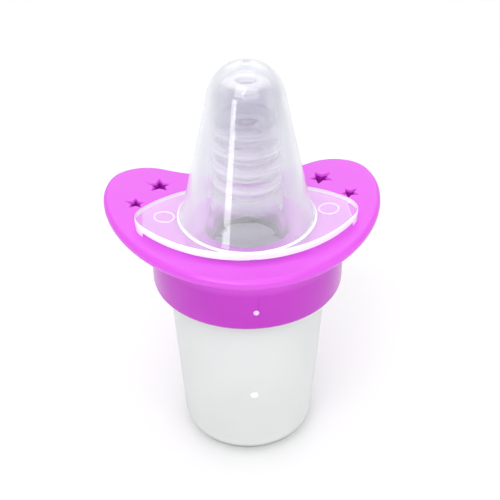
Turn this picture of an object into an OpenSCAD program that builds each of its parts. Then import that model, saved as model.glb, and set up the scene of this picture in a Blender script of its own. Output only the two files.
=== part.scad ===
// Pacifier-style oral medicine dispenser: a small dosing cup, a silicone
// nipple, a mouth shield with a screw collar, and a clear cover.
// Z is up, the origin is the centre of the cup's base, X runs along the
// shield's long axis and -Y is the front.

/* [Cup] */
// Radius of the cup's side where it meets the bottom rounding
cup_base_r = 15.4; // [14:0.1:16]
// Radius of the cup's side just under the collar
cup_top_r = 17.6; // [17.6:0.1:18]
// Radius of the rounded bottom edge
cup_round = 5.2; // [3:0.1:6]
// Wall thickness of the cup
cup_wall = 1.2; // [1:0.1:1.5]
// Height of the cup's rim
rim_z = 50.2; // [49.8:0.1:50.3]

/* [Screw thread] */
// Rise of the thread in one turn
pitch = 3; // [3:0.1:3.5]
// Outer radius of the cup's neck, under the thread
neck_r = 17.3; // [17:0.1:17.4]
// Height of a thread ridge
ridge_h = 0.9; // [0.6:0.05:0.9]

/* [Shield] */
// Radius of the collar
collar_r = 20.9; // [20.5:0.1:22]
// Height of the collar's lower edge
collar_z = 42; // [41.5:0.1:42.1]
// Height of the shield's top surface in the middle
shield_z = 54.35; // [54.3:0.05:54.5]
// Thickness of the shield
shield_t = 2.6; // [2.4:0.1:3]
// Radius of the curve that lifts the wings
saddle_r = 260; // [250:10:400]
// Distance from the axis to the shield's front edge
shield_front = 21.3; // [21.2:0.1:22]
// Radius of the hole that the nipple comes through
hole_r = 8.9; // [8.8:0.1:9.2]

/* [Nipple] */
// Height of the nipple's tip
nipple_top = 88; // [87:0.1:88.2]
// Radius of the nipple at the crown of a rib
rib_r = 7.3; // [7:0.1:7.5]
// Depth of the grooves between the ribs
rib_depth = 0.7; // [0.3:0.05:0.9]
// Distance from one groove to the next
rib_pitch = 4; // [3.5:0.1:4]
// Number of ribs
rib_count = 4; // [3:1:4]
// Thickness of the silicone
nipple_wall = 1; // [0.8:0.1:1.2]

/* [Cover] */
// Height of the cover's top
cover_top = 91.9; // [91.5:0.1:93]
// Radius of the cover's round top
cover_round = 8.05; // [8:0.05:8.5]
// Half angle of the cover's cone, in degrees
cover_angle = 12.54; // [12:0.1:13.5]
// Wall thickness of the cover
cover_wall = 1; // [0.9:0.05:1.1]
// Height of the flange's top surface in the middle
flange_z = 56.8; // [56.8:0.1:57.5]
// Thickness of the flange
flange_t = 1.8; // [1.4:0.1:1.8]
// Half length of the flange
flange_half_l = 24; // [23:0.1:24.5]
// Half width of the flange
flange_half_w = 14.6; // [14.6:0.1:15]

/* [Hidden] */
$fn = 96;

// Cup
cup_slope = (cup_top_r - cup_base_r) / (collar_z - cup_round);
neck_z = 42.3;             // height where the neck begins
cup_dot_r = 0.85;          // gate dot on the front of the wall
cup_dot_z = 19.8;

// Thread
thread_gap = 0.4;          // space between a crest and the wall facing it
collar_bore_r = neck_r + ridge_h + thread_gap;
ridge_root_w = 1.5;
ridge_crest_w = 0.8;
ridge_z = 44.6;            // height of the cup's ridge where it starts
cup_ridge_start = 0;
cup_ridge_turn = 450;
collar_ridge_start = 90;
collar_ridge_turn = 360;
ridge_step = 10;           // degrees from one thread section to the next

// Shield and collar
seat_t = 1.4;              // thickness of the nipple's clamped flange
ceiling_z = rim_z + seat_t;
collar_round = 1.5;
big_star = [2.35, 1.1];    // outer and inner radius
small_star = [1.75, 0.8];
// Each star: distance from the axis, its bearing, its turn, its two radii
stars = [[25.9, 21.8, 180, small_star], [25.9, 43.8, 180, big_star],
         [25.9, 136.2, 90, big_star], [25.9, 158.2, 90, small_star]];
star_bevel = 0.45;         // depth of the bevel round a star
star_flare = 0.32;         // how much wider a star is over its bevel
hole_bevel = 0.3;
gate_z = 46.5;                // gate mark on the front of the collar

// Nipple
seat_r = 17.2;
nipple_neck_r = 8.5;
nipple_neck_z = 56.5;      // height where the neck starts to narrow
groove_top = 80.5;         // height of the highest groove
groove_low = groove_top - rib_count * rib_pitch;
tip_hole_r = 0.8;
tip_dimple_r = 2;

// Cover
flange_curve_r = 238;
flange_tip_r = 5.6;
leg_in = 22.3;             // the legs fill the flange's tips outside this
leg_gap = 0.06;            // so the legs rest just clear of the shield
mark_x = 17.7;             // the two round marks on the flange
mark_r = 2.3;
mark_w = 0.35;
mark_h = 0.15;
dimple_r = 2.2;            // gate dimple on the top, with a boss under it
dimple_h = 0.45;
boss_r = 1.3;
boss_h = 0.5;

// Points of an arc that starts at p with heading h, in degrees, and turns
// left by sweep with radius r. A negative r and sweep turn it right.
function arc_from(p, h, r, sweep, n) =
    [for (i = [1:n]) let (a = h + sweep * i / n)
        p + r * [sin(a) - sin(h), cos(h) - cos(a)]];
function last(v) = v[len(v) - 1];
// Points of a circle about c, from angle a0 to a1
function arc_about(c, r, a0, a1, n) =
    [for (i = [0:n]) let (a = a0 + (a1 - a0) * i / n) c + r * [cos(a), sin(a)]];

// Height that a saddle of radius r gains at x
function lift(x, r) = r - sqrt(r * r - x * x);

// ---- cup ----

function cup_r(z) = cup_base_r + cup_slope * (z - cup_round);
function cup_outer() = concat(
    [[0, 0]],
    arc_about([cup_base_r - cup_round, cup_round], cup_round, -90, 0, 12),
    [[cup_r(neck_z), neck_z], [neck_r, neck_z + 0.3], [neck_r, rim_z - 0.3],
     [neck_r - 0.3, rim_z]]);
function cup_inner() = concat(
    [[neck_r - cup_wall, rim_z], [neck_r - cup_wall, neck_z - 1.5],
     [cup_r(neck_z - 3) - cup_wall, neck_z - 3]],
    arc_about([cup_base_r - cup_round, cup_round], cup_round - cup_wall, 0, -90, 12),
    [[0, cup_wall]]);

// A thread ridge: root and crest radius, and the angles it covers
module ridge(root_r, crest_r, start, turn, z_shift) {
    n = turn / ridge_step;
    runout = 3;
    sections = [for (i = [0:n])
        let (a = start + i * ridge_step,
             z = ridge_z + z_shift + pitch * a / 360,
             grow = min(1, (i + 0.3) / runout, (n - i + 0.3) / runout),
             r = root_r + (crest_r - root_r) * grow)
        each [for (q = [[root_r, -ridge_root_w], [r, -ridge_crest_w],
                        [r, ridge_crest_w], [root_r, ridge_root_w]])
              [q[0] * cos(a), q[0] * sin(a), z + q[1] / 2]]];
    sides = [for (i = [0:n - 1], k = [0:3])
        let (a = 4 * i + k, b = 4 * i + (k + 1) % 4)
        each [[a, b, b + 4], [a, b + 4, a + 4]]];
    faces = concat([[3, 2, 1, 0]], sides,
                   [[4 * n, 4 * n + 1, 4 * n + 2, 4 * n + 3]]);
    flip = crest_r < root_r;
    polyhedron(sections, [for (f = faces)
        flip ? [for (i = [len(f) - 1:-1:0]) f[i]] : f]);
}

module cup() color([0.92, 0.94, 0.93, 0.7]) {
    rotate_extrude() polygon(concat(cup_outer(), cup_inner()));
    ridge(neck_r - 0.3, neck_r + ridge_h, cup_ridge_start, cup_ridge_turn, 0);
    translate([0, -cup_r(cup_dot_z) + 0.3, cup_dot_z])
        rotate([90, 0, 0]) cylinder(r = cup_dot_r, h = 0.55, $fn = 32);
}

// ---- nipple ----

function rib_wave(z) = rib_r - rib_depth * (1 - abs(sin(180 * (z - groove_low) / rib_pitch)));
function nipple_outer() = concat(
    [[seat_r, rim_z], [seat_r, ceiling_z], [nipple_neck_r, ceiling_z],
     [nipple_neck_r, nipple_neck_z], [8.4, nipple_neck_z + 0.8], [8.1, nipple_neck_z + 2],
     [7.7, nipple_neck_z + 4], [7.4, nipple_neck_z + 6], [rib_r - 0.2, groove_low - 0.7]],
    [for (i = [0:rib_count * 8]) let (z = groove_low + i * rib_pitch / 8) [rib_wave(z), z]],
    [[rib_r - 0.25, groove_top + 0.7], [rib_r - 0.3, groove_top + 2]],
    [for (a = [0:10:60]) [3 + (rib_r - 3.35) * cos(a),
                          groove_top + 3.4 + (nipple_top - groove_top - 3.4) * sin(a)]],
    [[3.8, nipple_top - 0.15], [3, nipple_top], [tip_dimple_r + 0.3, nipple_top - 0.1],
     [tip_dimple_r, nipple_top - 0.5], [tip_hole_r + 0.2, nipple_top - 1],
     [tip_hole_r, nipple_top - 1.2]]);
function nipple_inner() = concat(
    [[tip_hole_r, nipple_top - 2], [3.4, nipple_top - 1.6]],
    [for (a = [60:-15:0]) [3 + (rib_r - 3.35 - nipple_wall) * cos(a),
                           groove_top + 3 + (nipple_top - groove_top - 4.2) * sin(a)]],
    [[rib_r - rib_depth - nipple_wall, groove_top], [rib_r - rib_depth - nipple_wall, groove_low],
     [6.9, nipple_neck_z + 3], [7.5, nipple_neck_z - 1], [7.6, rim_z]]);

module nipple() color([0.80, 0.82, 0.88, 0.6])
    rotate_extrude() polygon(concat(nipple_outer(), nipple_inner()));

// ---- shield ----

// Right half of the outline, from the middle of the front edge round the
// wing to the hollow for the nose: nearly flat front, corner, side, wing
front_arc = concat([[0, -shield_front]], arc_from([0, -shield_front], 0, 23.3, 12, 5));
corner_arc = arc_from(last(front_arc), 12, 31, 32, 8);
side_arc = arc_from(last(corner_arc), 44, 37.4, 43, 8);
wing_arc = arc_from(last(side_arc), 87, 24, 20, 4);
tip_arc = arc_from(last(wing_arc), 107, 9.6, 96, 10);
nose_r = last(tip_arc).x / sin(23);
nose_arc = arc_from(last(tip_arc), 203, -nose_r, -23, 5);
half_outline = concat(front_arc, corner_arc, side_arc, wing_arc, tip_arc, nose_arc);
outline = concat(half_outline,
    [for (i = [len(half_outline) - 2:-1:1]) [-half_outline[i].x, half_outline[i].y]]);
outline_n = len(outline);

edge_r = shield_t / 2;
function unit(v) = v / norm(v);
// Inward normal of the outline at point i
function inward(i) = let (t = unit(outline[(i + 1) % outline_n]
                                   - outline[(i + outline_n - 1) % outline_n])) [-t.y, t.x];
function mid_z(x) = shield_z - edge_r + lift(x, saddle_r);
function on_plate(p, dz) = [p.x, p.y, mid_z(p.x) + dz];
// One ring of points: inset from the edge, shrink towards the axis, height
// over the middle surface
function plate_ring(inset, shrink, dz) =
    [for (i = [0:outline_n - 1]) on_plate((outline[i] + inset * inward(i)) * shrink, dz)];

shrinks = [0.5, 0.75, 0.9];
edge_angles = [90:-22.5:-90];

module plate() {
    rings = concat(
        [for (s = shrinks) plate_ring(edge_r, s, edge_r)],
        [for (a = edge_angles) plate_ring(edge_r * (1 - cos(a)), 1, edge_r * sin(a))],
        [for (k = [2:-1:0]) plate_ring(edge_r, shrinks[k], -edge_r)]);
    last_ring = len(rings) - 1;
    bottom_mid = len(rings) * outline_n;
    points = concat([for (r = rings) each r], [on_plate([0, 0], -edge_r), on_plate([0, 0], edge_r)]);
    bands = [for (k = [0:last_ring - 1], i = [0:outline_n - 1])
        let (j = (i + 1) % outline_n, a = k * outline_n, b = a + outline_n)
        each [[a + i, a + j, b + j], [a + i, b + j, b + i]]];
    top_fan = [for (i = [0:outline_n - 1]) [bottom_mid + 1, (i + 1) % outline_n, i]];
    bottom_fan = [for (i = [0:outline_n - 1])
        [bottom_mid, last_ring * outline_n + i, last_ring * outline_n + (i + 1) % outline_n]];
    polyhedron(points, concat(bands, top_fan, bottom_fan));
}

// Ring under the plate, rounded at its lower edge, and cut to the saddle
module collar() {
    profile = concat(
        arc_about([collar_r - collar_round, collar_z + collar_round], collar_round, -90, 0, 6),
        [[collar_r, shield_z + 4], [0, shield_z + 4], [0, ceiling_z],
         [collar_bore_r - 0.5, ceiling_z], [collar_bore_r, ceiling_z - 0.5],
         [collar_bore_r, collar_z + 0.5], [collar_bore_r + 0.4, collar_z]]);
    difference() {
        rotate_extrude() polygon(profile);
        translate([0, 30, shield_z - edge_r + saddle_r])
            rotate([90, 0, 0]) cylinder(r = saddle_r, h = 60, $fn = 180);
    }
}

module star(outer, inner) {
    polygon([for (i = [0:9]) let (r = i % 2 == 0 ? outer : inner)
        r * [cos(36 * i), sin(36 * i)]]);
}

// Star-shaped air hole with a bevelled upper edge
module star_hole(s) {
    p = s[0] * [cos(s[1]), sin(s[1])];
    top = shield_z + lift(p.x, saddle_r);
    translate([p.x, p.y, 0]) rotate(s[2]) {
        translate([0, 0, top - 6]) linear_extrude(12) star(s[3][0], s[3][1]);
        translate([0, 0, top - star_bevel])
            linear_extrude(3 * star_bevel, scale = 1 + 3 * star_flare)
                star(s[3][0], s[3][1]);
    }
}

module shield() color([0.90, 0.38, 0.95]) {
    difference() {
        union() {
            plate();
            collar();
        }
        translate([0, 0, ceiling_z - 1]) cylinder(r = hole_r, h = 10);
        translate([0, 0, shield_z - hole_bevel])
            cylinder(r1 = hole_r, r2 = hole_r + 3 * hole_bevel, h = 3 * hole_bevel);
        for (s = stars) star_hole(s);
    }
    ridge(collar_bore_r + 0.3, neck_r + thread_gap, collar_ridge_start, collar_ridge_turn, -pitch / 2);
    translate([0, -collar_r + 0.3, gate_z])
        rotate([90, 0, 0]) cylinder(r = 0.55, h = 0.5, $fn = 32);
}

// ---- cover ----

round_z = cover_top - cover_round;
touch_z = round_z + cover_round * sin(cover_angle);
// Radius of the cone at height z, for a wall that lies w inside the outside
function cone_r(z, w) = (cover_round - w) * cos(cover_angle)
    + (round_z + (cover_round - w) * sin(cover_angle) - z) * tan(cover_angle);
function dome_profile(w, z0) = concat(
    [[0, z0], [cone_r(z0, w), z0]],
    arc_about([0, round_z], cover_round - w, cover_angle, 90, 16));

flange_side_l = flange_half_l - flange_tip_r;
flange_side_h = flange_half_w - flange_tip_r;
flange_inner_r = (flange_side_l ^ 2 + flange_side_h ^ 2) / (2 * flange_side_h);
flange_side_r = flange_inner_r + flange_tip_r;
flange_side_a = asin(flange_side_l / flange_inner_r);
function flange_half() = concat(
    arc_about([0, flange_half_w - flange_side_r], flange_side_r,
              90 + flange_side_a, 90 - flange_side_a, 24),
    arc_about([flange_side_l, 0], flange_tip_r,
              90 - flange_side_a, flange_side_a - 90, 10));
module flange_outline() {
    polygon(concat(flange_half(), [for (p = flange_half()) -p]));
}

// A curved sheet of thickness t whose top is at height z on the axis
module saddle_sheet(z, t) {
    translate([0, 30, z + flange_curve_r]) rotate([90, 0, 0]) difference() {
        cylinder(r = flange_curve_r + t, h = 60, $fn = 360);
        translate([0, 0, -1]) cylinder(r = flange_curve_r, h = 62, $fn = 360);
    }
}

module flange() {
    intersection() {
        translate([0, 0, flange_z - flange_t - 1]) linear_extrude(flange_t + 5) flange_outline();
        saddle_sheet(flange_z, flange_t);
    }
}

// The flange's tips turn down and stand on the wings
module legs() {
    bottom = shield_z + lift(flange_half_l, saddle_r) + leg_gap;
    intersection() {
        translate([0, 0, bottom]) linear_extrude(flange_z - bottom) flange_outline();
        for (side = [-1, 1]) translate([side * (leg_in + 5), 0, flange_z])
            cube([10, 20, 20], center = true);
    }
}

module flange_marks() {
    intersection() {
        saddle_sheet(flange_z + mark_h, 2 * mark_h);
        for (side = [-1, 1]) translate([side * mark_x, 0, flange_z]) difference() {
            cylinder(r = mark_r, h = 2, $fn = 64);
            translate([0, 0, -1]) cylinder(r = mark_r - mark_w, h = 4, $fn = 64);
        }
    }
}

module cover() color([0.85, 0.86, 0.90, 0.4]) {
    difference() {
        union() {
            flange();
            legs();
            rotate_extrude() polygon(dome_profile(0, flange_z - 0.5));
        }
        difference() {
            rotate_extrude() polygon(dome_profile(cover_wall, flange_z - flange_t - 1));
            translate([0, 0, cover_top - cover_wall - boss_h]) cylinder(r = boss_r, h = 2, $fn = 48);
        }
        translate([0, 0, cover_top + dimple_r - dimple_h]) sphere(r = dimple_r, $fn = 48);
    }
    flange_marks();
}

cup();
nipple();
shield();
cover();
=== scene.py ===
from math import asin, atan2, cos, hypot, pi, radians, sin, sqrt, tan

import bpy
from mathutils import Matrix, Vector


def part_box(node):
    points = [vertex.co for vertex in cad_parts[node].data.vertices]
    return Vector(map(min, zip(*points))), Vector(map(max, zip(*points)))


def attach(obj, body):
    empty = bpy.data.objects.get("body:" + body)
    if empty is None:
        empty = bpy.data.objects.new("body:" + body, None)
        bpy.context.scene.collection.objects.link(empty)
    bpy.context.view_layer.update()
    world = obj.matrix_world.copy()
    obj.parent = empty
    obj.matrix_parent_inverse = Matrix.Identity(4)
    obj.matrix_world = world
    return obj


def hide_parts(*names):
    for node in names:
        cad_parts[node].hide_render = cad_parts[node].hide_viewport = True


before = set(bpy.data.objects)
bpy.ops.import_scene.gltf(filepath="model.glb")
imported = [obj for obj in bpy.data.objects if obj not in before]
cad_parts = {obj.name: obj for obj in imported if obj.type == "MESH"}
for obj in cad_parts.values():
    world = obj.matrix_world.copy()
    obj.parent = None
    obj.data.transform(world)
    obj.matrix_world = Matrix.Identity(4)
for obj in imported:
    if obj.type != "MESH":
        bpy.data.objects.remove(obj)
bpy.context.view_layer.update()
MM = 0.001


def top_of(node):
    """Height of a CAD node's highest point, in mm."""
    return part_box(node)[1].z / MM


# ---------------------------------------------------------------- camera

AIM_Z = 50.0            # height of the point that the camera looks at, in mm
CAMERA_AWAY = 200.0     # from that point to the camera, in mm
CAMERA_UP = 33.44       # degrees above the horizon
CAMERA_ROUND = 4.7      # degrees round from the front, towards -X
CAMERA_ROLL = -0.48     # degrees
FOCAL_PX = 914.0        # focal length for a picture 500 pixels wide
SENSOR = 36.0
AIM_RIGHT = 2.7 / FOCAL_PX
AIM_DOWN = 8.1 / FOCAL_PX


def add_camera():
    up, turn = radians(CAMERA_UP), radians(CAMERA_ROUND)
    back = Vector((-sin(turn) * cos(up), -cos(turn) * cos(up), sin(up)))
    right = (-back).cross(Vector((0, 0, 1))).normalized()
    above = right.cross(-back)
    roll = radians(CAMERA_ROLL)
    right, above = right * cos(roll) + above * sin(roll), above * cos(roll) - right * sin(roll)
    back = (back - right * AIM_RIGHT + above * AIM_DOWN).normalized()
    right = above.cross(back).normalized()
    above = back.cross(right)
    data = bpy.data.cameras.new("camera")
    data.sensor_width = SENSOR
    data.lens = SENSOR * FOCAL_PX / 500
    data.clip_start = 0.01
    camera = bpy.data.objects.new("camera", data)
    bpy.context.scene.collection.objects.link(camera)
    away = Vector((-sin(turn) * cos(up), -cos(turn) * cos(up), sin(up))) * CAMERA_AWAY
    turned = Matrix((right, above, back)).transposed().to_4x4()
    camera.matrix_world = Matrix.Translation((away + Vector((0, 0, AIM_Z))) * MM) @ turned
    bpy.context.scene.camera = camera


add_camera()

# ---------------------------------------------------------------- sizes, in mm

CUP_BASE_R = 15.09      # where the wall's slope would meet the table
CUP_TOP_R = 17.6
CUP_ROUND = 5.2
CUP_WALL = 1.2
RIM_Z = top_of("cup")
NECK_R = 17.3
NECK_Z = 42.3
CUP_DOT_R = 0.9         # gate dot on the front of the cup
CUP_DOT_Z = 19.8

PITCH = 3.0
RIDGE_H = 0.9
RIDGE_Z = 44.6
THREAD_GAP = 0.4
COLLAR_BORE_R = NECK_R + RIDGE_H + THREAD_GAP

SHIELD_Z = 54.35
SHIELD_T = 2.6
SADDLE_R = 260.0
SHIELD_FRONT = 21.3
HOLE_R = 8.9
COLLAR_R = 20.9
COLLAR_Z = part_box("shield")[0].z / MM
SEAT_T = 1.4            # thickness of the nipple's clamped flange
CEILING_Z = RIM_Z + SEAT_T
GATE_R = 0.6            # gate mark on the front of the collar
GATE_Z = 46.5
BIG_STAR = (2.35, 1.1)  # outer and inner radius
SMALL_STAR = (1.75, 0.8)
STAR_AWAY = 25.9        # distance of each star from the axis
# Each star: its bearing, its turn, its two radii
STARS = [(21.8, 180, SMALL_STAR), (43.8, 180, BIG_STAR),
         (136.2, 90, BIG_STAR), (158.2, 90, SMALL_STAR)]

NIPPLE_TOP = top_of("nipple")
RIB_R = 7.3
RIB_DEPTH = 0.7
RIB_PITCH = 4.0
RIB_COUNT = 4
NIPPLE_WALL = 1.0
NIPPLE_SEAT_R = 17.2
NIPPLE_NECK_R = 8.5
NIPPLE_NECK_Z = 56.5    # where the neck starts to narrow
GROOVE_TOP = 80.5
GROOVE_LOW = GROOVE_TOP - RIB_COUNT * RIB_PITCH

COVER_TOP = top_of("cover")
COVER_ROUND = 8.05
COVER_ANGLE = 12.54
COVER_WALL = 1.0
FLANGE_Z = 56.8
FLANGE_T = 1.8
FLANGE_CURVE_R = 238.0
FLANGE_HALF_L = 24.0
FLANGE_HALF_W = 14.6
FLANGE_TIP_R = 5.6
LEG_IN = 22.3           # the legs fill the flange's tips outside this
MARK_X = 17.7           # the two raised rings on the flange
MARK_R = 2.3
MARK_W = 0.35
MARK_H = 0.15

STEPS = 192             # segments in a full turn

# ---------------------------------------------------------------- mesh tools


def make(name, points, faces):
    """A mesh object from points in mm."""
    mesh = bpy.data.meshes.new(name)
    mesh.from_pydata([Vector(p) * MM for p in points], [], faces)
    mesh.validate()
    mesh.update()
    obj = bpy.data.objects.new(name, mesh)
    bpy.context.scene.collection.objects.link(obj)
    return obj


def smooth(obj, angle=35):
    mesh = obj.data
    mesh.polygons.foreach_set("use_smooth", [True] * len(mesh.polygons))
    mesh.set_sharp_from_angle(angle=radians(angle))
    return obj


def combine(obj, other, operation):
    """Joins other to obj, or cuts it out, and removes it."""
    step = obj.modifiers.new("combine", "BOOLEAN")
    step.object = other
    step.operation = operation
    step.solver = "EXACT"
    graph = bpy.context.evaluated_depsgraph_get()
    mesh = bpy.data.meshes.new_from_object(obj.evaluated_get(graph))
    obj.modifiers.clear()
    obj.data = mesh
    bpy.data.objects.remove(other)
    return obj


def arc(cx, cy, r, a0, a1, n):
    """Points of a circle about (cx, cy) from angle a0 to a1, in degrees."""
    turns = [radians(a0 + (a1 - a0) * i / n) for i in range(n + 1)]
    return [(cx + r * cos(a), cy + r * sin(a)) for a in turns]


def rounded(corners, n=6):
    """An outline from (x, y, corner radius) corners, each corner drawn as an arc."""
    out = []
    for i, (x, y, r) in enumerate(corners):
        if r == 0 or i in (0, len(corners) - 1):
            out.append((x, y))
            continue
        here = Vector((x, y))
        before = Vector(corners[i - 1][:2]) - here
        after = Vector(corners[i + 1][:2]) - here
        half = before.angle(after) / 2
        reach = min(r / tan(half), before.length * 0.49, after.length * 0.49)
        start, end = here + before.normalized() * reach, here + after.normalized() * reach
        for k in range(n + 1):
            t = k / n
            point = start * (1 - t) ** 2 + here * 2 * t * (1 - t) + end * t ** 2
            out.append(tuple(point))
    return out


def lathe(name, profile, steps=STEPS):
    """Turns a profile of (radius, height) about the axis. It runs anticlockwise round
    the wall, and closes on itself unless both its ends are on the axis."""
    points, rows = [], []
    for r, z in profile:
        if r < 1e-6:
            rows.append([len(points)] * steps)
            points.append((0, 0, z))
            continue
        rows.append(list(range(len(points), len(points) + steps)))
        points += [(r * cos(2 * pi * i / steps), r * sin(2 * pi * i / steps), z) for i in range(steps)]
    faces = []
    count = len(rows)
    open_ends = profile[0][0] < 1e-6 and profile[-1][0] < 1e-6
    for k in range(count - 1 if open_ends else count):
        low, high = rows[k], rows[(k + 1) % count]
        for i in range(steps):
            j = (i + 1) % steps
            ring = [low[i], low[j], high[j], high[i]]
            face = [v for n, v in enumerate(ring) if v not in ring[:n]]
            if len(face) > 2:
                faces.append(face)
    return make(name, points, faces)


def ridge(name, root_r, crest_r, start, turn, z_shift):
    """A screw thread's ridge, run out at both ends."""
    step, runout = 5, 6
    count = turn // step
    points, faces = [], []
    for i in range(count + 1):
        a = radians(start + i * step)
        z = RIDGE_Z + z_shift + PITCH * (start + i * step) / 360
        grow = min(1, (i + 0.3) / runout, (count - i + 0.3) / runout)
        r = root_r + (crest_r - root_r) * grow
        for radius, dz in ((root_r, -0.75), (r, -0.4), (r, 0.4), (root_r, 0.75)):
            points.append((radius * cos(a), radius * sin(a), z + dz))
    for i in range(count):
        for k in range(4):
            a, b = 4 * i + k, 4 * i + (k + 1) % 4
            faces.append([a, a + 4, b + 4, b])
    faces.append([0, 1, 2, 3])
    faces.append([4 * count + k for k in (3, 2, 1, 0)])
    if crest_r < root_r:
        faces = [f[::-1] for f in faces]
    return make(name, points, faces)


def bump(name, r, height, place, turn):
    """A low round bump, such as a gate mark, that sits on a wall."""
    profile = [(0, -0.6), (r, -0.6), (r, 0)] + [(r * cos(a), height * sin(a)) for a in
                                               (radians(20), radians(45), radians(70))] + [(0, height)]
    obj = lathe(name, profile, 48)
    obj.data.transform(Matrix.Translation(Vector(place) * MM) @ turn)
    return obj


FACE_FRONT = Matrix.Rotation(radians(90), 4, "X")

# ---------------------------------------------------------------- cup


def cup_piece():
    slope = (CUP_TOP_R - CUP_BASE_R) / COLLAR_Z
    profile = rounded([
        (0, 0, 0), (CUP_BASE_R, 0, CUP_ROUND), (CUP_BASE_R + slope * NECK_Z, NECK_Z, 0.2),
        (NECK_R, NECK_Z + 0.3, 0.2), (NECK_R, RIM_Z, 0.4), (NECK_R - CUP_WALL, RIM_Z, 0.4),
        (NECK_R - CUP_WALL, NECK_Z - 1.5, 1), (CUP_TOP_R - CUP_WALL - 0.15, NECK_Z - 3, 1),
        (CUP_BASE_R + 0.07 - CUP_WALL, CUP_WALL, CUP_ROUND - CUP_WALL), (0, CUP_WALL, 0)], 12)
    cup = lathe("dosing_cup", profile)
    combine(cup, ridge("cup_thread", NECK_R - 0.3, NECK_R + RIDGE_H, 0, 450, 0), "UNION")
    dot_y = -(CUP_BASE_R + slope * CUP_DOT_Z)
    combine(cup, bump("cup_dot", CUP_DOT_R, 0.25, (0, dot_y, CUP_DOT_Z), FACE_FRONT), "UNION")
    return smooth(cup)


# ---------------------------------------------------------------- nipple


def rib_wave(z):
    """Radius of the ribbed outside: round crests with sharp grooves between them."""
    return RIB_R - RIB_DEPTH * (1 - abs(sin(pi * (z - GROOVE_LOW) / RIB_PITCH)))


def nipple_piece():
    """One profile: up the outside, round the tip, and down the hollow."""
    per_rib = 24
    heights = [GROOVE_LOW + i * RIB_PITCH / per_rib for i in range(RIB_COUNT * per_rib + 1)]
    ribs = [(rib_wave(z), z) for z in heights]
    flat_r, side_r = 3, RIB_R - 3.35        # flat of the tip, and the shoulder's reach beyond it
    mouth_r = 7.6
    shoulder_z = GROOVE_TOP + 3.4
    shoulder = [(flat_r + side_r * cos(radians(a)), shoulder_z + (NIPPLE_TOP - shoulder_z) * sin(radians(a)))
                for a in range(0, 66, 5)]
    outside = rounded([
        (mouth_r, RIM_Z, 0), (NIPPLE_SEAT_R, RIM_Z, 0.3), (NIPPLE_SEAT_R, CEILING_Z, 0.3),
        (NIPPLE_NECK_R, CEILING_Z, 0.3), (NIPPLE_NECK_R, NIPPLE_NECK_Z, 1.5),
        (7.5, NIPPLE_NECK_Z + 5, 4), (RIB_R - 0.2, GROOVE_LOW - 0.7, 0.3), ribs[0] + (0,)])
    tip = rounded([shoulder[-1] + (0,), (3.6, NIPPLE_TOP - 0.05, 0.5), (3, NIPPLE_TOP, 0.4),
                   (2.2, NIPPLE_TOP, 0.3), (1.7, NIPPLE_TOP - 1.0, 0.3), (0.8, NIPPLE_TOP - 1.1, 0.15),
                   (0.8, NIPPLE_TOP - 2, 0.15), (3.4, NIPPLE_TOP - 1.6, 0.4)])
    inner = [(flat_r + (side_r - NIPPLE_WALL) * cos(radians(a)),
              GROOVE_TOP + 3 + (NIPPLE_TOP - GROOVE_TOP - 4.2) * sin(radians(a))) for a in range(65, -1, -5)]
    inner_r = RIB_R - RIB_DEPTH - NIPPLE_WALL
    inner_ribs = [(inner_r + 0.3 * (r - RIB_R + RIB_DEPTH), z) for r, z in ribs[::-1]]
    inside = inner_ribs[1:-1] + rounded([
        (inner_r, GROOVE_LOW, 0), (6.9, NIPPLE_NECK_Z + 3, 2), (7.5, NIPPLE_NECK_Z - 1, 1), (mouth_r, RIM_Z, 0)])
    profile = outside + ribs[1:] + [(RIB_R - 0.25, GROOVE_TOP + 0.7), (RIB_R - 0.3, GROOVE_TOP + 2)]
    profile += shoulder[:-1] + tip + inner + inside[:-1]
    return smooth(lathe("nipple_silicone", profile), 50)


# ---------------------------------------------------------------- shield


def lift(x, r):
    """Height that a saddle of radius r gains at x."""
    return r - sqrt(r * r - x * x)


def walk(start, heading, bends):
    """Points along arcs laid end to end, each given as (radius, turn in degrees)."""
    points = [start]
    for r, turn in bends:
        n = max(2, round(abs(turn * r) / 18))
        x0, y0 = points[-1]
        for i in range(1, n + 1):
            a = radians(heading + turn * i / n)
            a0 = radians(heading)
            s = r if turn > 0 else -r
            points.append((x0 + s * (sin(a) - sin(a0)), y0 + s * (cos(a0) - cos(a))))
        heading += turn
    return points


def shield_outline():
    """The whole outline, anticlockwise from the middle of the front edge. Its last arc
    is hollow, and its radius is what brings the outline back to the middle."""
    bends = [(23.3, 12), (31, 32), (37.4, 43), (24, 20), (9.6, 96)]
    nose_turn = 23
    half = walk((0, -SHIELD_FRONT), 0, bends)
    nose_r = half[-1][0] / sin(radians(nose_turn))
    half = walk((0, -SHIELD_FRONT), 0, bends + [(nose_r, -nose_turn)])
    half[-1] = (0, half[-1][1])
    return half + [(-x, y) for x, y in half[-2:0:-1]]


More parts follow.
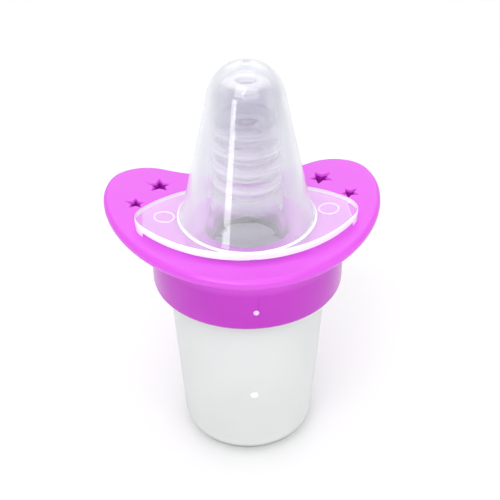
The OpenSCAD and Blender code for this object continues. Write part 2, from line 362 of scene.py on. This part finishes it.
def shield_plate():
    """The saddle-shaped plate with a rounded edge, as rings from the top's middle outward,
    round the edge, and back to the middle underneath."""
    outline = [Vector(p) for p in shield_outline()]
    count = len(outline)
    edge_r = SHIELD_T / 2
    inward = []
    for i in range(count):
        along = (outline[(i + 1) % count] - outline[i - 1]).normalized()
        inward.append(Vector((-along.y, along.x)))

    def ring(inset, shrink, dz):
        out = []
        for p, n in zip(outline, inward):
            q = (p + n * inset) * shrink
            out.append((q.x, q.y, SHIELD_Z - edge_r + lift(q.x, SADDLE_R) + dz))
        return out

    shrinks = [0.97 - 0.05 * k for k in range(19)]
    rings = [ring(edge_r, s, edge_r) for s in shrinks[::-1]]
    turns = [radians(90 - 10 * k) for k in range(19)]
    rings += [ring(edge_r * (1 - cos(a)), 1, edge_r * sin(a)) for a in turns]
    rings += [ring(edge_r, s, -edge_r) for s in shrinks]
    points = [p for r in rings for p in r]
    faces = []
    for k in range(len(rings) - 1):
        for i in range(count):
            j = (i + 1) % count
            a, b = k * count, (k + 1) * count
            faces.append([a + i, b + i, b + j, a + j])
    last = (len(rings) - 1) * count
    points += [(0, 0, SHIELD_Z), (0, 0, SHIELD_Z - SHIELD_T)]
    top, bottom = len(points) - 2, len(points) - 1
    for i in range(count):
        j = (i + 1) % count
        faces.append([top, i, j])
        faces.append([bottom, last + j, last + i])
    return make("mouth_shield", points, faces)


def collar():
    """The screw collar, filled to the axis over its ceiling, up to the plate's middle."""
    profile = rounded([
        (0, CEILING_Z, 0), (COLLAR_BORE_R, CEILING_Z, 0.5), (COLLAR_BORE_R, COLLAR_Z + 0.5, 0.3),
        (COLLAR_BORE_R + 0.4, COLLAR_Z, 0.3), (COLLAR_R, COLLAR_Z, 1.8), (COLLAR_R, SHIELD_Z, 0)])
    profile += [(COLLAR_R * k / 12, SHIELD_Z) for k in range(11, -1, -1)]
    obj = lathe("collar", profile)
    for v in obj.data.vertices:
        if v.co.z > (SHIELD_Z - 0.01) * MM:
            v.co.z = (SHIELD_Z - SHIELD_T / 2 + lift(v.co.x / MM, SADDLE_R)) * MM
    return obj


def star_place(bearing):
    return STAR_AWAY * cos(radians(bearing)), STAR_AWAY * sin(radians(bearing))


def star_cutter(bearing, turn, radii):
    """A star-shaped hole through the plate that widens over its bevel."""
    bevel, above, flare = 0.45, 1.35, 0.32
    outer, inner = radii
    cx, cy = star_place(bearing)
    top = SHIELD_Z + lift(cx, SADDLE_R)
    points = []
    for z, grow in ((top - 6, 1), (top - bevel, 1), (top + above - bevel, 1 + above / bevel * flare)):
        for i in range(10):
            r = (inner if i % 2 else outer) * grow
            a = radians(turn + 36 * i)
            points.append((cx + r * cos(a), cy + r * sin(a), z))
    faces = [[i for i in range(9, -1, -1)], [20 + i for i in range(10)]]
    for k in range(2):
        for i in range(10):
            j = (i + 1) % 10
            faces.append([10 * k + i, 10 * k + j, 10 * k + 10 + j, 10 * k + 10 + i])
    return make("star", points, faces)


def shield_piece():
    plate = shield_plate()
    combine(plate, collar(), "UNION")
    low, high = CEILING_Z - 1, 60
    hole = [(0, low), (HOLE_R, low), (HOLE_R, SHIELD_Z - 0.45), (HOLE_R + 0.05, SHIELD_Z - 0.25),
            (HOLE_R + 0.18, SHIELD_Z - 0.08), (HOLE_R + 0.98, SHIELD_Z + 0.19), (HOLE_R + 0.98, high), (0, high)]
    combine(plate, lathe("hole", hole), "DIFFERENCE")
    for star in STARS:
        combine(plate, star_cutter(*star), "DIFFERENCE")
    thread = ridge("collar_thread", COLLAR_BORE_R + 0.3, NECK_R + THREAD_GAP, 90, 360, -PITCH / 2)
    combine(plate, thread, "UNION")
    combine(plate, bump("collar_gate", GATE_R, 0.2, (0, -COLLAR_R, GATE_Z), FACE_FRONT), "UNION")
    return smooth(plate)


# ---------------------------------------------------------------- cover


def cone_r(z, inset):
    """Radius of the cover's cone at height z, on a surface inset from the outside."""
    a = radians(COVER_ANGLE)
    r = COVER_ROUND - inset
    return r * cos(a) + (COVER_TOP - COVER_ROUND + r * sin(a) - z) * tan(a)


def flange_edge(a):
    """Distance from the axis to the flange's outline in direction a, in radians."""
    side_l, side_h = FLANGE_HALF_L - FLANGE_TIP_R, FLANGE_HALF_W - FLANGE_TIP_R
    inner_r = (side_l ** 2 + side_h ** 2) / (2 * side_h)
    side_r = inner_r + FLANGE_TIP_R
    c, s = abs(cos(a)), abs(sin(a))
    tip = side_l * c + sqrt(FLANGE_TIP_R ** 2 - (side_l * s) ** 2) if side_l * s < FLANGE_TIP_R else 0
    low = inner_r - side_h
    side = -low * s + sqrt(side_r ** 2 - (low * c) ** 2)
    limit = asin(side_l / inner_r)
    return side if atan2(side * c, side * s + low) < limit else tip


def cover_body():
    """Dome and flange as one surface of rows, from the top of the outside to the top of
    the inside. A round row is (radius, height). The others follow the flange's curve at a
    height over its top face: an over row has its radius, a top or under row its share of the
    way out to the flange's edge, and an edge row how far in from that edge it is."""
    hole_r = cone_r(FLANGE_Z - FLANGE_T, COVER_WALL) + 0.2
    hole_bevel, edge = 0.25, 0.3
    round_z = COVER_TOP - COVER_ROUND
    foot_r = cone_r(FLANGE_Z, 0) + 0.8
    foot_z, flare = 60, 0.055           # below this height the foot flares out
    dimple = [(0, COVER_TOP - 0.45), (0.5, COVER_TOP - 0.4), (0.9, COVER_TOP - 0.24), (1.2, COVER_TOP - 0.1),
              (1.5, COVER_TOP - 0.12)]
    outside = dimple + arc(0, round_z, COVER_ROUND, 78, COVER_ANGLE, 26)
    outside += [(cone_r(z, 0), z) for z in (84, 80, 76, 72, 68, 64, 61, foot_z)]
    outside += [(cone_r(z, 0) + flare * (foot_z - z) ** 2, z) for z in (59.5, 59, 58.5, 58, 57.6)]
    rows = [("round", r, z) for r, z in outside]
    fillet = 0.5
    rows += [("over", cone_r(FLANGE_Z + h, 0) + flare * (foot_z - FLANGE_Z - h) ** 2 + 0.25 * (1 - h / fillet) ** 2, h)
             for h in (fillet, 0.38, 0.26, 0.16, 0.08, 0.03)]
    rows += [("top", t, 0) for t in (0.03, 0.07, 0.15, 0.3, 0.5, 0.7, 0.85, 0.95)]
    turns = [(edge * (1 - cos(radians(t))), edge * (1 - sin(radians(t)))) for t in (90, 60, 30, 0)]
    rows += [("edge", inset, -down) for inset, down in turns]
    rows += [("edge", inset, down - FLANGE_T) for inset, down in turns[::-1]]
    rows += [("under", t, -FLANGE_T) for t in (0.95, 0.8, 0.6, 0.4, 0.2, 0.08)]
    rows += [("over", hole_r + hole_bevel, -FLANGE_T), ("over", hole_r + 0.08, 0.08 - FLANGE_T),
             ("over", hole_r, hole_bevel - FLANGE_T)]
    inner = [(cone_r(z, COVER_WALL) + 0.12 * (59.4 - z), z) for z in (57.5, 58.2, 58.8, 59.2)]
    inner += [(cone_r(z, COVER_WALL), z) for z in (59.4, 61, 64, 68, 72, 76, 80, 84)]
    inner += arc(0, round_z, COVER_ROUND - COVER_WALL, COVER_ANGLE, 76, 24)
    boss_low = COVER_TOP - COVER_WALL - 0.5
    inner += [(1.45, boss_low + 0.3), (1.3, boss_low + 0.1), (1.1, boss_low), (0, boss_low)]
    rows += [("round", r, z) for r, z in inner]

    steps = 288
    points, first = [], []
    for kind, p, q in rows:
        first.append(len(points))
        for i in range(1 if kind == "round" and p == 0 else steps):
            a = 2 * pi * (i + 0.5) / steps
            out = flange_edge(a)
            if kind == "top":
                r = foot_r + (out - edge - foot_r) * p
            elif kind == "under":
                r = hole_r + hole_bevel + (out - edge - hole_r - hole_bevel) * p
            elif kind == "edge":
                r = out - p
            else:
                r = p
            z = q if kind == "round" else FLANGE_Z + lift(r * cos(a), FLANGE_CURVE_R) + q
            points.append((r * cos(a), r * sin(a), z))
    first.append(len(points))
    faces = []
    for k in range(len(rows) - 1):
        low, high, end = first[k:k + 3]
        for i in range(steps):
            j = (i + 1) % steps
            if high - low == 1:
                faces.append([low, high + i, high + j])
            elif end - high == 1:
                faces.append([low + i, high, low + j])
            else:
                faces.append([low + i, high + i, high + j, low + j])
    return make("clear_cover", points, faces)


def legs():
    """The flange's turned-down tips, each a solid that joins it."""
    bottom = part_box("cover")[0].z / MM
    for side in (-1, 1):
        edge = []
        for k in range(-60, 61):
            a = radians(k * 0.4)
            r = flange_edge(a) - 0.02
            if r * cos(a) > LEG_IN:
                edge.append((side * r * cos(a), r * sin(a)))
        count = len(edge)
        top = FLANGE_Z + lift(LEG_IN, FLANGE_CURVE_R) - FLANGE_T / 2
        points = [(x, y, z) for z in (bottom, top) for x, y in edge]
        faces = [[i, i + 1, count + i + 1, count + i] for i in range(count - 1)]
        faces.append([count - 1, 0, count, 2 * count - 1])
        faces.append(list(range(count))[::-1])
        faces.append(list(range(count, 2 * count)))
        if side < 0:
            faces = [f[::-1] for f in faces]
        yield make("leg", points, faces)


def flange_mark(side):
    """A raised ring on the flange, shaped to its curve."""
    sink, bevel, steps = 0.2, 0.1, 72
    section = [(MARK_R - MARK_W, -sink), (MARK_R, -sink), (MARK_R, MARK_H * 0.6), (MARK_R - bevel, MARK_H),
               (MARK_R - MARK_W + bevel, MARK_H), (MARK_R - MARK_W, MARK_H * 0.6)]
    points, faces = [], []
    for i in range(steps):
        a = 2 * pi * i / steps
        for r, dz in section:
            x = side * MARK_X + r * cos(a)
            points.append((x, r * sin(a), FLANGE_Z + lift(x, FLANGE_CURVE_R) + dz))
    n = len(section)
    for i in range(steps):
        for k in range(n):
            a, b = i * n, ((i + 1) % steps) * n
            faces.append([a + k, b + k, b + (k + 1) % n, a + (k + 1) % n])
    return make("mark", points, faces)


def cover_piece():
    cover = cover_body()
    for part in list(legs()) + [flange_mark(-1), flange_mark(1)]:
        combine(cover, part, "UNION")
    return smooth(cover)


# ---------------------------------------------------------------- materials


def material(name):
    """A new material, its nodes, its links and its main shader."""
    m = bpy.data.materials.new(name)
    m.use_nodes = True
    nodes = m.node_tree.nodes
    return m, nodes, m.node_tree.links, nodes["Principled BSDF"]


def noise(nodes, links, scale, detail=4.0):
    """Noise fixed to the piece."""
    place = nodes.new("ShaderNodeTexCoord")
    n = nodes.new("ShaderNodeTexNoise")
    n.inputs["Scale"].default_value = scale
    n.inputs["Detail"].default_value = detail
    links.new(place.outputs["Object"], n.inputs["Vector"])
    return n.outputs["Fac"]


def spread(nodes, links, value, low, high):
    """Maps a noise from its middle range to low..high."""
    m = nodes.new("ShaderNodeMapRange")
    m.inputs["From Min"].default_value = 0.3
    m.inputs["From Max"].default_value = 0.7
    m.inputs["To Min"].default_value = low
    m.inputs["To Max"].default_value = high
    links.new(value, m.inputs["Value"])
    return m.outputs["Result"]


def bumpy(nodes, links, shader, value, distance, strength):
    b = nodes.new("ShaderNodeBump")
    b.inputs["Distance"].default_value = distance
    b.inputs["Strength"].default_value = strength
    links.new(value, b.inputs["Height"])
    links.new(b.outputs["Normal"], shader.inputs["Normal"])


def let_lamps_through(m, shader, colour):
    """Rays from lamps pass clear plastic, so what is under it is lit."""
    nodes, links = m.node_tree.nodes, m.node_tree.links
    clear = nodes.new("ShaderNodeBsdfTransparent")
    clear.inputs["Color"].default_value = (*colour, 1)
    path = nodes.new("ShaderNodeLightPath")
    mix = nodes.new("ShaderNodeMixShader")
    links.new(path.outputs["Is Shadow Ray"], mix.inputs["Fac"])
    links.new(shader.outputs["BSDF"], mix.inputs[1])
    links.new(clear.outputs["BSDF"], mix.inputs[2])
    links.new(mix.outputs["Shader"], nodes["Material Output"].inputs["Surface"])


def tinted(name, first, second, scale):
    """A material whose base colour drifts softly between two colours."""
    m, nodes, links, shader = material(name)
    colours = nodes.new("ShaderNodeMix")
    colours.data_type = "RGBA"
    colours.inputs["A"].default_value = (*first, 1)
    colours.inputs["B"].default_value = (*second, 1)
    links.new(spread(nodes, links, noise(nodes, links, scale), 0, 1), colours.inputs["Factor"])
    links.new(colours.outputs["Result"], shader.inputs["Base Color"])
    return m, nodes, links, shader


def magenta(name, first, second, plate):
    """Magenta plastic, with painted light: a painted shade keeps the collar deep magenta under the plate, and the
    colour lightens upward into the plate over it as painted light.
    """
    m, nodes, links, shader = tinted(name, first, second, 60)
    low = shader.inputs["Base Color"].links[0].from_socket
    colours = nodes.new("ShaderNodeMix")
    colours.data_type = "RGBA"
    colours.inputs["B"].default_value = (*plate, 1)
    links.new(low, colours.inputs["A"])
    # Painted light: the base colour turns from the collar's deep magenta, a painted shade, to the plate's lighter
    # colour.
    links.new(by_height(m, [(CEILING_Z - 1.2, 0), (SHIELD_Z - 1, 1)]), colours.inputs["Factor"])
    links.new(colours.outputs["Result"], shader.inputs["Base Color"])
    links.new(spread(nodes, links, noise(nodes, links, 2500), 0.20, 0.27), shader.inputs["Roughness"])
    shader.inputs["IOR"].default_value = 1.52
    shader.inputs["Subsurface Weight"].default_value = 0.15
    shader.inputs["Subsurface Radius"].default_value = (1.0, 0.3, 1.0)
    shader.inputs["Subsurface Scale"].default_value = 0.0012
    bumpy(nodes, links, shader, noise(nodes, links, 2200), 0.00001, 0.15)
    return m


def shield_looks(obj):
    """Magenta plastic, with a painted shade inside the star holes and a pale painted highlight on the gate mark."""
    for look in (magenta("magenta_polypropylene", (0.46, 0.014, 0.49), (0.51, 0.018, 0.54), (0.69, 0.08, 0.73)),
                 magenta("magenta_painted_star_shade", (0.38, 0.012, 0.40), (0.42, 0.014, 0.45), (0.38, 0.012, 0.40)),
                 magenta("magenta_painted_gate_highlight", (0.85, 0.55, 0.86), (0.9, 0.65, 0.9), (0.9, 0.65, 0.9))):
        obj.data.materials.append(look)
    plain, star_shade, gate_highlight = range(3)
    gate = Vector((0, -COLLAR_R - 0.2, GATE_Z))
    for face in obj.data.polygons:
        place = face.center / MM
        face.material_index = plain
        # Painted highlight: the gate bump's faces take the pale pink.
        if (place - gate).length < GATE_R + 0.05 and place.y < -COLLAR_R - 0.02:
            face.material_index = gate_highlight
        # Painted shade: the walls inside the star holes take the darker magenta.
        for bearing, _, radii in STARS:
            x, y = star_place(bearing)
            if abs(face.normal.z) < 0.3 and hypot(place.x - x, place.y - y) < radii[0] + 0.05:
                face.material_index = star_shade


def milky(name, transmission):
    """Milky plastic that lets light through by height, as by_height's stops say."""
    m, nodes, links, shader = tinted(name, (0.935, 0.955, 0.945), (0.95, 0.965, 0.955), 90)
    links.new(spread(nodes, links, noise(nodes, links, 1500), 0.30, 0.36), shader.inputs["Roughness"])
    shader.inputs["IOR"].default_value = 1.42
    links.new(by_height(m, transmission), shader.inputs["Transmission Weight"])
    bumpy(nodes, links, shader, noise(nodes, links, 2500), 0.00001, 0.15)
    let_lamps_through(m, shader, (0.5, 0.52, 0.51))
    return m


def cup_looks(obj):
    """Milky plastic, clearer in the base's thick edge, with a painted highlight that whitens the gate dot."""
    obj.data.materials.append(milky("milky_polypropylene", [(0, 0.9), (2.2, 0.88), (2.9, 0.45), (RIM_Z, 0.45)]))
    obj.data.materials.append(milky("milky_painted_dot_highlight", [(0, 0.05), (RIM_Z, 0.05)]))
    dot = Vector((0, -CUP_BASE_R - 1.2, CUP_DOT_Z))
    largest = 0.3 * MM * MM        # the dot's faces are smaller than the wall's
    for face in obj.data.polygons:
        # Painted highlight: the gate dot's small faces are made nearly opaque, so the dot shows white.
        near = (face.center / MM - dot).length < 1.2
        face.material_index = 1 if near and face.area < largest else 0


def clear(name, colour, ior, transmission, rough, lamps):
    """Clear plastic; rough is its range of roughness, lamps the light that passes it."""
    m, nodes, links, shader = material(name)
    shader.inputs["Base Color"].default_value = (*colour, 1)
    links.new(spread(nodes, links, noise(nodes, links, 200), *rough), shader.inputs["Roughness"])
    shader.inputs["IOR"].default_value = ior
    shader.inputs["Transmission Weight"].default_value = transmission
    bumpy(nodes, links, shader, noise(nodes, links, 250, 2), 0.00002, 0.1)
    let_lamps_through(m, shader, lamps)
    return m


def by_height(m, stops):
    """A grey value that follows the height above the floor; stops are (z in mm, value)."""
    nodes, links = m.node_tree.nodes, m.node_tree.links
    place = nodes.new("ShaderNodeTexCoord")
    split = nodes.new("ShaderNodeSeparateXYZ")
    links.new(place.outputs["Object"], split.inputs["Vector"])
    span = nodes.new("ShaderNodeMapRange")
    span.inputs["From Min"].default_value = stops[0][0] * MM
    span.inputs["From Max"].default_value = stops[-1][0] * MM
    links.new(split.outputs["Z"], span.inputs["Value"])
    ramp = nodes.new("ShaderNodeValToRGB")
    points = ramp.color_ramp.elements
    for i, (z, value) in enumerate(stops):
        at = (z - stops[0][0]) / (stops[-1][0] - stops[0][0])
        if 0 < i < len(stops) - 1:
            points.new(at)
        points[i].position = at
        points[i].color = (value, value, value, 1)
    links.new(span.outputs["Result"], ramp.inputs["Fac"])
    return ramp.outputs["Color"]


def nipple_looks(obj):
    """Clear silicone, clearest in the neck, with painted light: painted highlights whiten the ribs' crests and the
    tip, a painted shade darkens the neck and the band over the ribs, and a painted pink reflection of the shield tints
    the lower ribs.
    """
    m = clear("clear_silicone", (0.84, 0.85, 0.90), 1.36, 0.9, (0.03, 0.05), (0.86, 0.87, 0.9))
    obj.data.materials.append(m)
    nodes, links, shader = m.node_tree.nodes, m.node_tree.links, m.node_tree.nodes["Principled BSDF"]
    stops = [(RIM_Z, 1.0), (60.5, 0.99), (62, 0.75), (GROOVE_LOW - 0.2, 0.62)]
    # Painted highlights: each rib is made hazier, so whiter, toward its crest than in its grooves.
    for i, crest_highlight in enumerate((0.34, 0.32, 0.28, 0.22)):
        z = GROOVE_LOW + i * RIB_PITCH
        stops += [(z + 0.25, 0.93), (z + 1.3, 0.88 - crest_highlight * 0.6), (z + 2, 0.88 - crest_highlight * 1.5),
                  (z + 2.7, 0.88 - crest_highlight * 0.6), (z + 3.75, 0.93)]
    # Painted highlight: the tip turns whiter as it grows less clear.
    stops += [(GROOVE_TOP + 0.5, 0.88), (NIPPLE_TOP - 0.5, 0.86), (NIPPLE_TOP - 0.25, 0.4), (NIPPLE_TOP, 0.3)]
    links.new(by_height(m, stops), shader.inputs["Transmission Weight"])
    # Painted light in the base colour: painted shade in the neck and over the ribs, a painted pink reflection of the
    # shield low on the ribs, and a painted highlight at the tip.
    colours = nodes.new("ShaderNodeMix")
    colours.data_type = "RGBA"
    colours.inputs["A"].default_value = (0.47, 0.44, 0.56, 1)
    colours.inputs["B"].default_value = (0.98, 0.94, 0.97, 1)
    tone = [(RIM_Z, 0.5), (56, 0.5), (59, 0.7), (GROOVE_LOW - 1.5, 1), (GROOVE_LOW + 6, 0.92),
            (GROOVE_LOW + 13, 0.75), (GROOVE_TOP + 1, 0.5), (NIPPLE_TOP - 1, 0.6), (NIPPLE_TOP - 0.4, 1)]
    links.new(by_height(m, tone), colours.inputs["Factor"])
    links.new(colours.outputs["Result"], shader.inputs["Base Color"])


def cloud_up(m, stops, edge_haze):
    """Clear plastic that is cloudier low down, and where it is seen edge on through more of it."""
    nodes, links = m.node_tree.nodes, m.node_tree.links
    weight = nodes.new("ShaderNodeLayerWeight")
    weight.inputs["Blend"].default_value = 0.5
    share = nodes.new("ShaderNodeMath")
    share.operation = "MULTIPLY"
    share.inputs[1].default_value = -edge_haze
    links.new(weight.outputs["Facing"], share.inputs[0])
    total = nodes.new("ShaderNodeMath")
    total.operation = "ADD"
    total.use_clamp = True
    links.new(share.outputs[0], total.inputs[0])
    links.new(by_height(m, stops), total.inputs[1])
    links.new(total.outputs[0], nodes["Principled BSDF"].inputs["Transmission Weight"])


def cover_looks(obj):
    """Clear dome and slightly cloudy flange, with painted highlights: the flange's edges and a line round the dome's
    foot are near-white, and the raised rings' crests are pale.
    """
    # The near-white edge look and the pale ring look are painted highlights.
    looks = [clear("clear_dome", (0.83, 0.84, 0.87), 1.45, 0.88, (0.015, 0.03), (0.88, 0.88, 0.9)),
             clear("cloudy_flange", (0.86, 0.83, 0.88), 1.3, 0.78, (0.06, 0.09), (0.85, 0.85, 0.88)),
             clear("flange_edge", (0.99, 0.985, 0.99), 1.3, 0.12, (0.10, 0.14), (0.7, 0.7, 0.72)),
             clear("ring_painted_highlight", (0.95, 0.88, 0.96), 1.3, 0.35, (0.10, 0.14), (0.7, 0.7, 0.72))]
    for look in looks:
        obj.data.materials.append(look)
    cloud_up(looks[0], [(FLANGE_Z, 0.9), (70, 0.93), (COVER_TOP, 0.95)], 0.75)
    dome, flange, edge, crest = range(4)
    base_r = cone_r(FLANGE_Z, 0)
    for face in obj.data.polygons:
        x, y, z = face.center / MM
        away = hypot(x, y)
        ring = hypot(abs(x) - MARK_X, y)
        raised = z > FLANGE_Z + lift(x, FLANGE_CURVE_R) + 0.02
        if z > FLANGE_Z + 1.2 or away < base_r + 0.35:
            face.material_index = dome
        # Painted highlight: a line round the dome's foot.
        elif raised and base_r + 0.55 < away < base_r + 0.8:
            face.material_index = edge
        # Painted highlight: the raised rings' crests.
        elif raised and MARK_R - MARK_W - 0.05 < ring < MARK_R + 0.05:
            face.material_index = crest
        # Painted highlight: the flange's steep faces, round its edges.
        elif abs(face.normal.z) < 0.8:
            face.material_index = edge
        else:
            face.material_index = flange


def finish_piece(obj, looks, node):
    """Paints a piece and ties it to the CAD part, whose body and slot have the same name."""
    obj.data.materials.clear()
    looks(obj)
    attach(obj, node)
    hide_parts(node)


finish_piece(cup_piece(), cup_looks, "cup")
finish_piece(nipple_piece(), nipple_looks, "nipple")
finish_piece(shield_piece(), shield_looks, "shield")
finish_piece(cover_piece(), cover_looks, "cover")

# ---------------------------------------------------------------- stage


def area_light(name, place, aim, size, power):
    """A white soft box that isn't seen itself."""
    data = bpy.data.lights.new(name, "AREA")
    data.shape = "RECTANGLE"
    data.size, data.size_y = size
    data.energy = power
    obj = bpy.data.objects.new(name, data)
    bpy.context.scene.collection.objects.link(obj)
    look = Vector(aim) - Vector(place)
    obj.location = Vector(place)
    obj.rotation_euler = look.to_track_quat("-Z", "Y").to_euler()
    obj.visible_camera = False
    return obj


def light_only(lamp, *names):
    """Keeps a lamp off everything but the named pieces."""
    lit = bpy.data.collections.new("lit_by_" + lamp.name)
    for name in names:
        lit.objects.link(bpy.data.objects[name])
    lamp.light_linking.receiver_collection = lit


def add_floor():
    half = 3000.0
    floor = make("floor", [(-half, -half, 0), (half, -half, 0), (half, half, 0), (-half, half, 0)], [[0, 1, 2, 3]])
    m, _, _, shader = material("pale_floor")
    shader.inputs["Base Color"].default_value = (0.93, 0.93, 0.93, 1)
    shader.inputs["Roughness"].default_value = 0.7
    shader.inputs["Specular IOR Level"].default_value = 0.1
    floor.data.materials.append(m)


def add_light():
    """Pale surroundings, whiter overhead, and six soft boxes."""
    world = bpy.data.worlds.new("studio")
    world.use_nodes = True
    nodes, links = world.node_tree.nodes, world.node_tree.links
    place = nodes.new("ShaderNodeTexCoord")
    split = nodes.new("ShaderNodeSeparateXYZ")
    links.new(place.outputs["Generated"], split.inputs["Vector"])
    ramp = nodes.new("ShaderNodeValToRGB")
    ramp.color_ramp.elements[0].position = 0.0
    ramp.color_ramp.elements[0].color = (0.72, 0.73, 0.75, 1)
    ramp.color_ramp.elements[1].position = 0.75
    ramp.color_ramp.elements[1].color = (1, 1, 1, 1)
    links.new(split.outputs["Z"], ramp.inputs["Fac"])
    # Behind the floor's far end the camera sees the floor's own tone, so no horizon shows.
    path = nodes.new("ShaderNodeLightPath")
    colours = nodes.new("ShaderNodeMix")
    colours.data_type = "RGBA"
    colours.inputs["B"].default_value = (0.878, 0.882, 0.885, 1)
    links.new(path.outputs["Is Camera Ray"], colours.inputs["Factor"])
    links.new(ramp.outputs["Color"], colours.inputs["A"])
    links.new(colours.outputs["Result"], nodes["Background"].inputs["Color"])
    nodes["Background"].inputs["Strength"].default_value = 0.78
    bpy.context.scene.world = world
    middle = (0, 0, 0.05)
    area_light("key", (-0.20, -0.36, 0.50), middle, (0.3, 0.35), 1.0)
    area_light("front", (0.10, -0.45, 0.45), middle, (0.5, 0.3), 0.75)
    area_light("top", (0.0, 0.05, 0.6), middle, (0.4, 0.4), 0.6)
    area_light("back", (0.05, 0.50, 0.38), middle, (0.6, 0.4), 0.45)
    right = area_light("right", (0.5, -0.15, 0.12), middle, (0.3, 0.3), 0.19)
    light_only(right, "dosing_cup", "nipple_silicone", "mouth_shield", "clear_cover")
    streak = area_light("streak", (-0.252, -0.311, 0.112), (0, 0, 0.08), (0.085, 0.26), 0.42)
    light_only(streak, "clear_cover")


add_floor()
add_light()
bpy.context.scene.view_settings.view_transform = "Standard"
